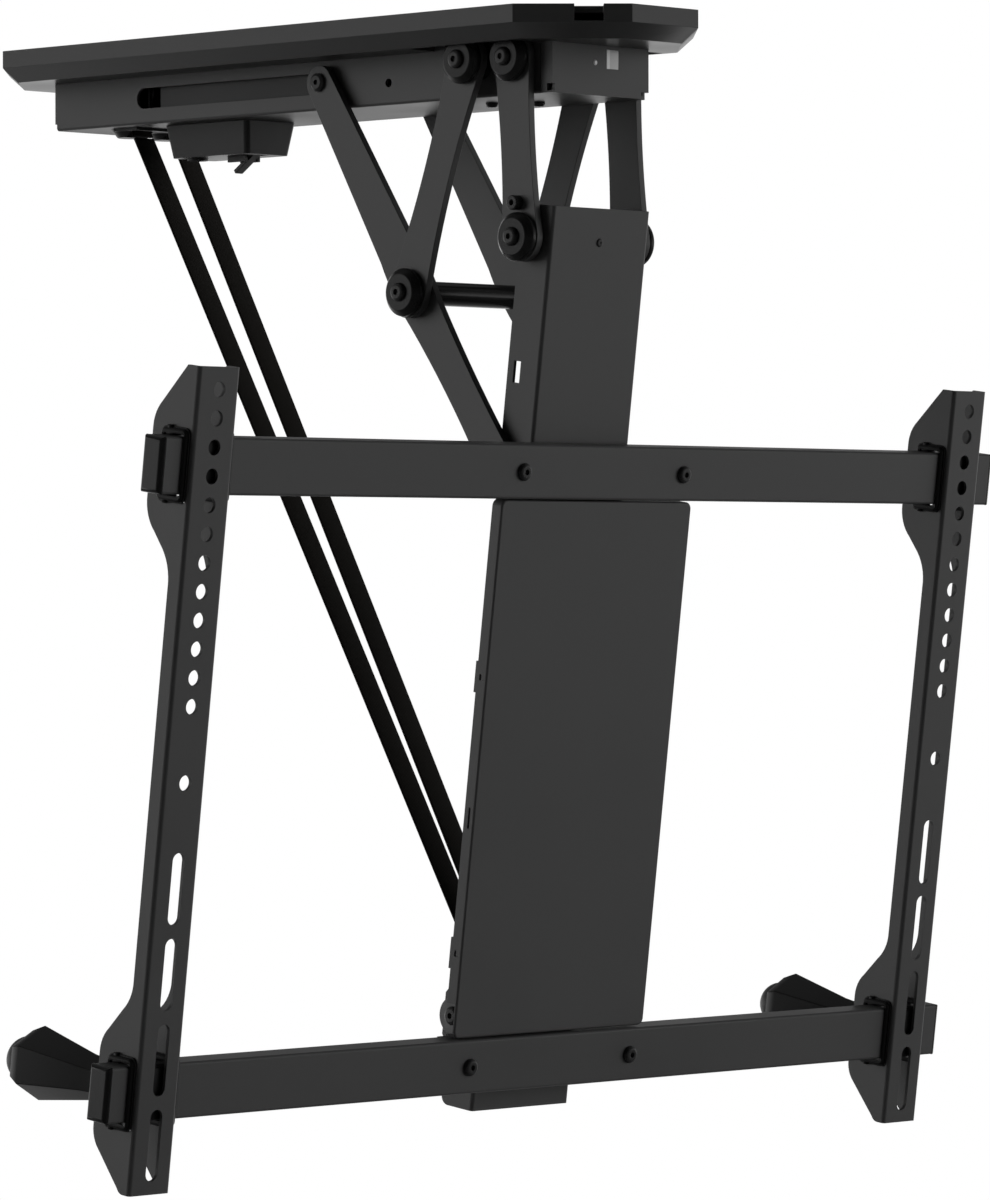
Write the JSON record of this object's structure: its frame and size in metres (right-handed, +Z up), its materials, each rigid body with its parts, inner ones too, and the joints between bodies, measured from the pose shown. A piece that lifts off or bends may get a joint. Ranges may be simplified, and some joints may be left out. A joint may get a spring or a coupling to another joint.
{
  "type": "motorized tv ceiling mount",
  "caption": "Motorized flip-down ceiling mount: folding arms, straps and a column with sliding slotted rails that carry a television.",
  "frame": {"origin": "middle of the ceiling plate's top face, where it meets the ceiling", "axes": "+X to the right along the horizontal rails seen from the front, +Y to the back, away from the television, +Z up into the ceiling"},
  "size_m": [0.664, 0.511, 0.6331],
  "materials": {
    "powder_coat": "satin black powder coat",
    "tray_coat": "satin black powder coat",
    "black_plastic": "moulded black plastic",
    "cap_plastic": "turned black plastic",
    "black_rubber": "matt rubber",
    "webbing": "tight black webbing",
    "black_screw": "black oxide",
    "bright_steel": "bright turned steel",
    "silver_window": "silver window",
    "lamp": "smoked lamp lens",
    "board": "circuit board"
  },
  "bodies": {
    "ceiling_unit": {"ceiling_plate": "powder_coat", "cover_tray": "tray_coat", "drive_box": "powder_coat", "box_front_cap": "powder_coat", "receiver_lens": "silver_window", "status_lamp": "lamp", "box_rear_plate": "powder_coat", "track_guides": "powder_coat", "motor": "bright_steel", "motor_cradle": "black_plastic", "gearbox": "black_plastic", "drum_bearings": "bright_steel", "control_board": "board", "strap_guide": "black_plastic", "limit_switch_housing": "black_plastic", "box_axles": "bright_steel", "box_pivot_washers": "cap_plastic", "box_pivot_caps": "cap_plastic", "box_pivot_screws": "black_screw", "box_screws": "black_screw", "strap_leads": "webbing"},
    "drum": {"strap_drum": "bright_steel", "strap_windings": "webbing"},
    "front_links": {"front_link_left": "powder_coat", "front_link_right": "powder_coat", "stop_pins": "black_screw"},
    "column": {"column_channel": "powder_coat", "top_pivot_axle": "bright_steel", "top_pivot_caps": "cap_plastic", "strap_anchor_axle": "bright_steel", "column_washers": "cap_plastic", "column_screws": "black_screw", "strap_loops": "webbing", "rail_brackets": "powder_coat", "upper_rail": "powder_coat", "lower_rail": "powder_coat", "rail_end_caps": "black_plastic", "rail_screws": "black_screw", "lower_cover": "powder_coat"},
    "short_links": {"short_link_left": "powder_coat", "short_link_right": "powder_coat"},
    "long_arms": {"long_arm_left": "powder_coat", "long_arm_right": "powder_coat", "cross_tube": "powder_coat", "knee_washers": "cap_plastic", "knee_caps": "cap_plastic", "knee_screws": "black_screw", "track_pins": "black_screw", "low_pivot_studs": "black_screw"},
    "lift_straps": {"strap_left": "webbing", "strap_right": "webbing"},
    "left_rail": {"left_tv_rail": "powder_coat", "left_glides": "black_plastic", "left_foot": "black_plastic", "left_foot_pad": "black_rubber"},
    "right_rail": {"right_tv_rail": "powder_coat", "right_glides": "black_plastic", "right_foot": "black_plastic", "right_foot_pad": "black_rubber"},
    "limit_lever": {"limit_lever": "black_plastic"}
  },
  "joints": [
    {"name": "front_link_swing", "type": "hinge", "parent": "ceiling_unit", "child": "front_links", "pos_m": [0, -0.1821, -0.0257], "axis": [1, 0, 0], "range_deg": [-54.3, 0]},
    {"name": "column_fold", "type": "hinge", "parent": "front_links", "child": "column", "pos_m": [0, -0.18823, -0.12462], "axis": [1, 0, 0], "range_deg": [0, 136.8]},
    {"name": "short_link_swing", "type": "hinge", "parent": "ceiling_unit", "child": "short_links", "pos_m": [0, -0.1515, -0.0257], "axis": [1, 0, 0], "range_deg": [0, 56.8]},
    {"name": "long_arm_turn", "type": "hinge", "parent": "short_links", "child": "long_arms", "pos_m": [0, -0.1063, -0.1525], "axis": [1, 0, 0], "range_deg": [-103.1, 0]},
    {"name": "strap_swing", "type": "hinge", "parent": "column", "child": "lift_straps", "pos_m": [0, -0.13098, -0.55453], "axis": [1, 0, 0], "range_deg": [-42.5, 0], "deforming": ["strap_left", "strap_right"]},
    {"name": "drum_turn", "type": "hinge", "parent": "ceiling_unit", "child": "drum", "pos_m": [0, 0.1486, -0.025], "axis": [1, 0, 0], "range_deg": [0, 2110]},
    {"name": "left_rail_slide", "type": "slide", "parent": "column", "child": "left_rail", "axis": [1, 0, 0], "range_m": [0, 0.2]},
    {"name": "right_rail_slide", "type": "slide", "parent": "column", "child": "right_rail", "axis": [1, 0, 0], "range_m": [-0.2, 0]},
    {"name": "limit_lever_press", "type": "hinge", "parent": "ceiling_unit", "child": "limit_lever", "pos_m": [0, 0.066, -0.062], "axis": [1, 0, 0], "range_deg": [0, 16], "stiffness_Nm_per_rad": 0.02, "springref_deg": -11.46}
  ],
  "couplings": [
    {"joint": "front_link_swing", "follows": "column_fold", "ratio": -0.39642},
    {"joint": "short_link_swing", "follows": "column_fold", "ratio": 0.41431},
    {"joint": "long_arm_turn", "follows": "column_fold", "ratio": -0.75294},
    {"joint": "strap_swing", "follows": "column_fold", "ratio": -0.31},
    {"joint": "drum_turn", "follows": "column_fold", "ratio": 15.4}
  ]
}
